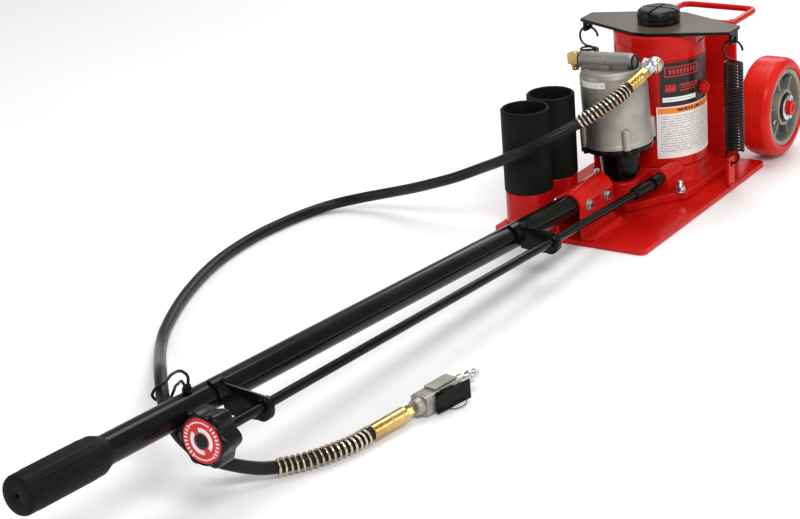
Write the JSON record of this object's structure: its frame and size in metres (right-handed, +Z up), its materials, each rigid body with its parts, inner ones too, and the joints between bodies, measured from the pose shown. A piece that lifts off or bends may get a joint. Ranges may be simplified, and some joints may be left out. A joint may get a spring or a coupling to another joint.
{
  "type": "air hydraulic axle jack",
  "caption": "Low wheeled axle jack with an upright hydraulic ram and tank, an air motor pump, a long pull handle with a release knob, and an air hose that ends in a throttle valve.",
  "frame": {"origin": "on the ground, on the underside of the base plate, under the ram's axis", "axes": "+Z up along the ram, -Y towards the user's end of the pull handle, +Y towards the wheels, +X to the right seen from the handle"},
  "size_m": [0.5824, 1.6267, 0.2712],
  "materials": {
    "red_paint": "gloss",
    "black_paint": "gloss",
    "black_steel": "satin",
    "bare_steel": "satin",
    "plate_paint": "satin",
    "cast_metal": "matte",
    "brass_fittings": "gloss",
    "tyre_red": "satin",
    "hub_paint": "satin",
    "rubber": "matte"
  },
  "bodies": {
    "chassis": {"base_plate": "red_paint", "base_casting": "red_paint", "flange_bolt_left": "bare_steel", "flange_bolt_right": "bare_steel", "reservoir_tank": "red_paint", "filler_plug": "red_paint", "pressure_cylinder": "bare_steel", "cap_nut": "red_paint", "return_spring_left": "black_steel", "return_spring_right": "black_steel", "spring_lug_left": "red_paint", "spring_lug_right": "red_paint", "rear_frame": "red_paint", "axle_arm_left": "red_paint", "axle_arm_right": "red_paint", "carry_loop": "red_paint", "axle": "red_paint", "axle_washer_left": "bare_steel", "axle_washer_right": "bare_steel", "axle_pin_left": "bare_steel", "axle_pin_right": "bare_steel", "extension_post_front": "red_paint", "extension_post_rear": "red_paint", "handle_socket": "red_paint", "handle_tube": "black_paint", "socket_bolt_front": "bare_steel", "socket_bolt_rear": "bare_steel", "handle_grip": "rubber", "hose_guide": "black_paint", "rod_bracket_rear": "black_paint", "rod_bracket_front": "black_paint", "pump_collar": "black_paint", "motor_base": "black_paint", "air_motor_body": "cast_metal", "brass_elbow": "brass_fittings", "hose_swivel": "bare_steel", "hose_ferrule_upper": "brass_fittings", "hose_ferrule_lower": "brass_fittings", "spring_guard_upper": "brass_fittings", "spring_guard_lower": "brass_fittings", "air_hose": "rubber", "throttle_valve_body": "cast_metal", "coupler_nipple": "bare_steel"},
    "ram": {"ram": "bare_steel", "saddle": "black_paint", "return_plate": "plate_paint"},
    "wheel_left": {"tyre_left": "tyre_red", "wheel_hub_left": "hub_paint", "wheel_bearing_left": "black_steel"},
    "wheel_right": {"tyre_right": "tyre_red", "wheel_hub_right": "hub_paint", "wheel_bearing_right": "black_steel"},
    "release_rod": {"release_rod": "black_paint", "joint_cross": "black_steel", "release_knob": "black_paint", "knob_disc": "red_paint"},
    "valve_stem": {"release_valve_stem": "black_paint"},
    "extension_front": {"extension_tube_front": "black_steel"},
    "extension_rear": {"extension_tube_rear": "black_steel"},
    "throttle_lever": {"throttle_lever": "black_paint"}
  },
  "joints": [
    {"name": "ram_lift", "type": "slide", "parent": "chassis", "child": "ram", "axis": [0, 0, 1], "range_m": [0, 0.135], "stiffness_N_per_m": 2400, "deforming": ["return_spring_left", "return_spring_right"]},
    {"name": "wheel_spin_left", "type": "hinge", "parent": "chassis", "child": "wheel_left", "pos_m": [-0.103, 0.168, 0.08], "axis": [1, 0, 0], "continuous": true},
    {"name": "wheel_spin_right", "type": "hinge", "parent": "chassis", "child": "wheel_right", "pos_m": [0.103, 0.168, 0.08], "axis": [1, 0, 0], "continuous": true},
    {"name": "release_turn", "type": "hinge", "parent": "chassis", "child": "release_rod", "pos_m": [0.044, -0.132, 0.0422], "axis": [0, -0.9982, 0.06], "range_deg": [0, 360]},
    {"name": "release_stem_turn", "type": "hinge", "parent": "chassis", "child": "valve_stem", "pos_m": [0.044, -0.132, 0.0422], "axis": [0, -1, 0], "range_deg": [0, 360]},
    {"name": "extension_lift_front", "type": "slide", "parent": "chassis", "child": "extension_front", "axis": [0, 0, 1], "range_m": [0, 0.06]},
    {"name": "extension_lift_rear", "type": "slide", "parent": "chassis", "child": "extension_rear", "axis": [0, 0, 1], "range_m": [0, 0.06]},
    {"name": "throttle_press", "type": "hinge", "parent": "chassis", "child": "throttle_lever", "pos_m": [0.11794, -0.82537, 0.01489], "axis": [-0.0013, -0.0171, 0.9999], "range_deg": [0, 6], "stiffness_Nm_per_rad": 0.6}
  ],
  "couplings": [
    {"joint": "release_stem_turn", "follows": "release_turn", "ratio": 1}
  ]
}
